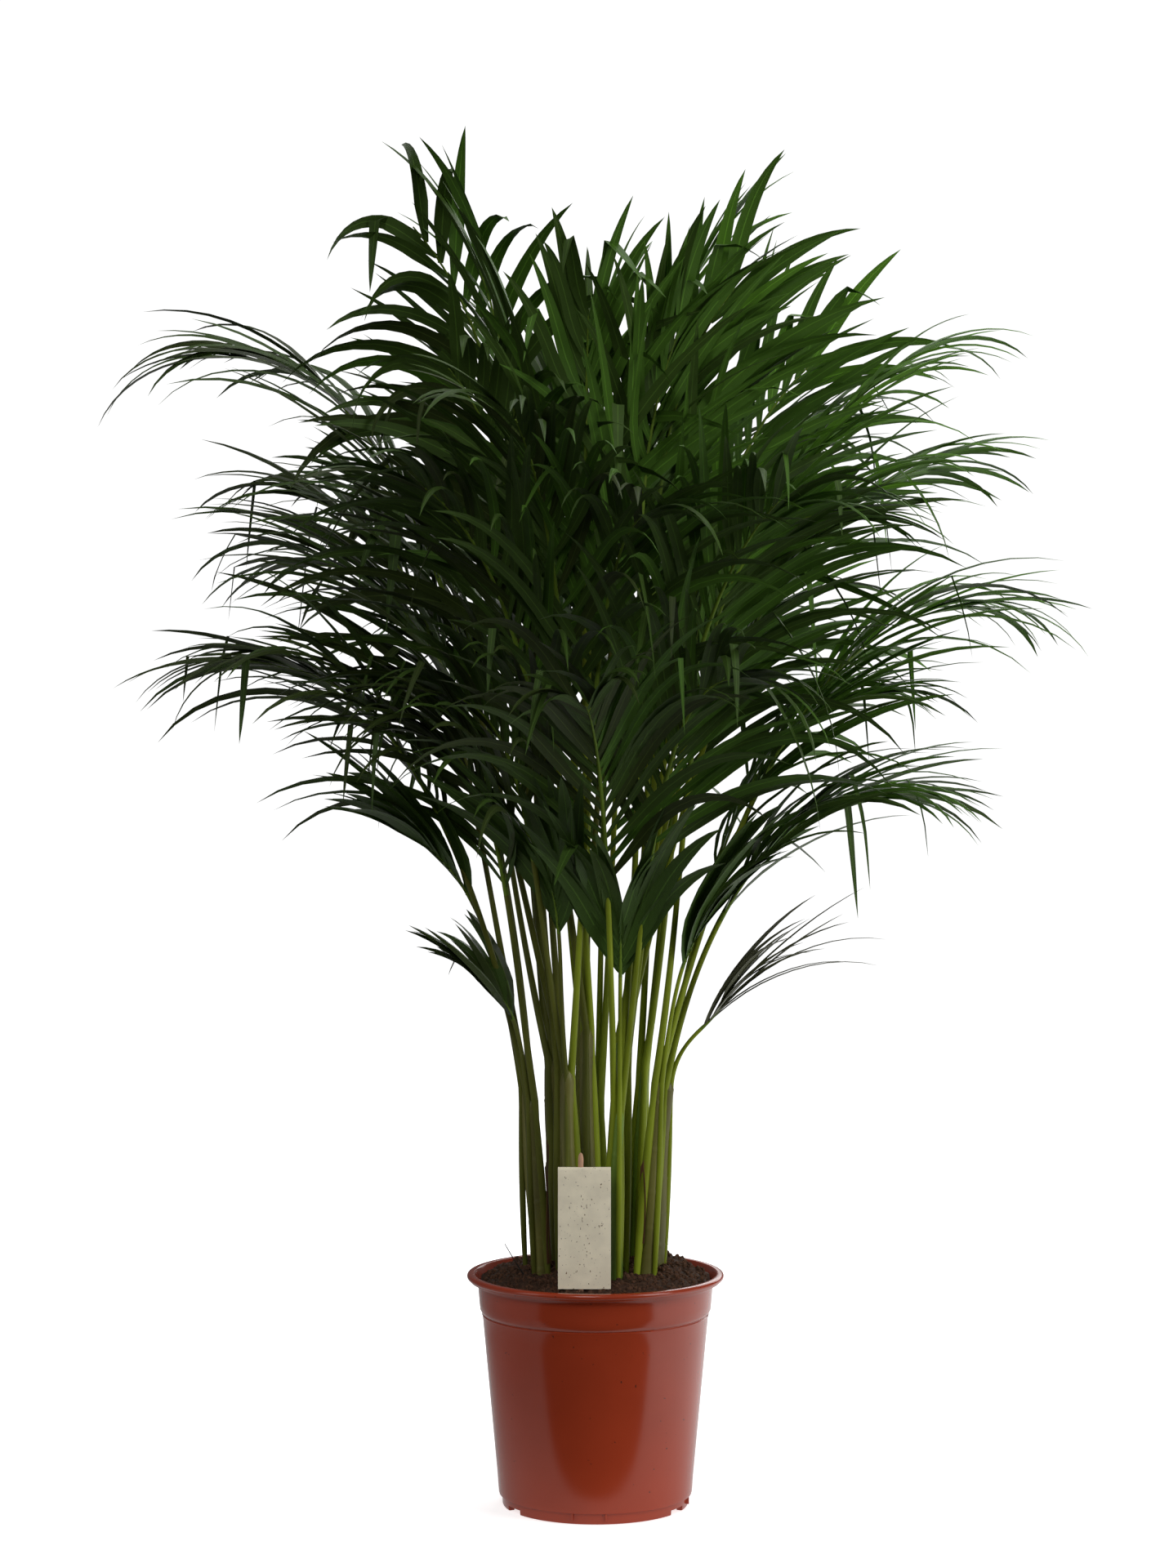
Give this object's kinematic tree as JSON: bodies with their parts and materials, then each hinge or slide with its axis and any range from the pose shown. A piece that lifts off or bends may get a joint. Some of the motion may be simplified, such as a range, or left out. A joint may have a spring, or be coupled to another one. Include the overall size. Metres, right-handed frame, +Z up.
{
  "type": "potted palm",
  "caption": "Areca palm in a terracotta-coloured nursery pot: a clump of canes carrying long arching feather-shaped fronds, with soil and a blank card label.",
  "frame": {"origin": "centre of the pot's flat underside, on the floor", "axes": "+Z up along the pot's axis, -Y towards the side with the label, +X to the right seen from there"},
  "size_m": [0.9113, 0.7522, 1.2493],
  "materials": {
    "pot": "smooth, slightly glossy terracotta-coloured plastic",
    "soil": "damp dark peat",
    "label": "matte speckled card on a wooden stake",
    "canes": "waxy yellow-green stems",
    "fronds": "satin dark green leaflets"
  },
  "bodies": {
    "root": {"cane_01": "canes", "cane_02": "canes", "cane_03": "canes", "cane_04": "canes", "cane_05": "canes", "cane_06": "canes", "cane_07": "canes", "cane_08": "canes", "cane_09": "canes", "cane_10": "canes", "cane_11": "canes", "cane_12": "canes", "cane_13": "canes", "cane_14": "canes", "frond_back_1": "fronds", "frond_back_2": "fronds", "frond_back_3": "fronds", "frond_back_4": "fronds", "frond_back_5": "fronds", "frond_crown_1": "fronds", "frond_crown_2": "fronds", "frond_crown_3": "fronds", "frond_crown_4": "fronds", "frond_crown_5": "fronds", "frond_crown_6": "fronds", "frond_front_1": "fronds", "frond_front_2": "fronds", "frond_front_3": "fronds", "frond_front_4": "fronds", "frond_front_left_young": "fronds", "frond_front_young": "fronds", "frond_left_drop": "fronds", "frond_left_foot": "fronds", "frond_left_long": "fronds", "frond_left_low": "fronds", "frond_left_mid_back": "fronds", "frond_left_mid_front": "fronds", "frond_left_small": "fronds", "frond_right_arch": "fronds", "frond_right_back": "fronds", "frond_right_dry": "fronds", "frond_right_fan": "fronds", "frond_right_front": "fronds", "frond_right_low": "fronds", "frond_right_mid": "fronds", "frond_right_short": "fronds", "frond_right_upper": "fronds", "frond_skirt_back_1": "fronds", "frond_skirt_back_2": "fronds", "frond_skirt_back_3": "fronds", "frond_skirt_front_1": "fronds", "frond_skirt_front_2": "fronds", "frond_skirt_front_3": "fronds", "frond_top_left": "fronds", "frond_top_left_front": "fronds", "frond_top_right": "fronds", "label": "label", "pot": "pot", "soil": "soil"}
  },
  "joints": []
}
